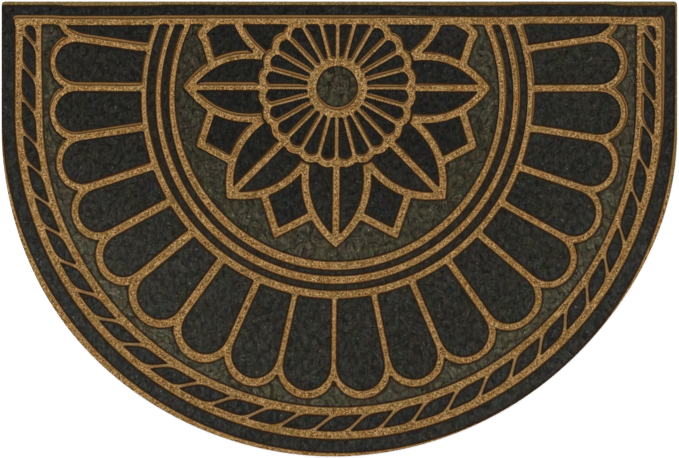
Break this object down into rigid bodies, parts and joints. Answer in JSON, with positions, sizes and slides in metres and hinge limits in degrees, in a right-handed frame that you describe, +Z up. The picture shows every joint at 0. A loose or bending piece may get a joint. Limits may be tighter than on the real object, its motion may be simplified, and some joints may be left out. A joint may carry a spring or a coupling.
{
  "type": "half-round outdoor doormat",
  "caption": "Half-round flat doormat: a bonded crumb-rubber slab with a printed fibre face, pressed channels and raised pads in a rosette pattern, for scraping shoes at a door.",
  "frame": {"origin": "on the ground under the middle of the mat's box", "axes": "+X along the straight edge, +Y from the middle of the curve towards the straight edge, +Z up out of the face"},
  "size_m": [0.9144, 0.616, 0.008],
  "materials": {
    "crumb_rubber": "matt, grainy bonded crumb",
    "printed_fibre": "matt needle-punched fibre, dark green-grey print on the raised pads, tan in the pressed channels"
  },
  "bodies": {
    "root": {"rubber_backing": "crumb_rubber", "fibre_face": "printed_fibre"}
  },
  "joints": []
}
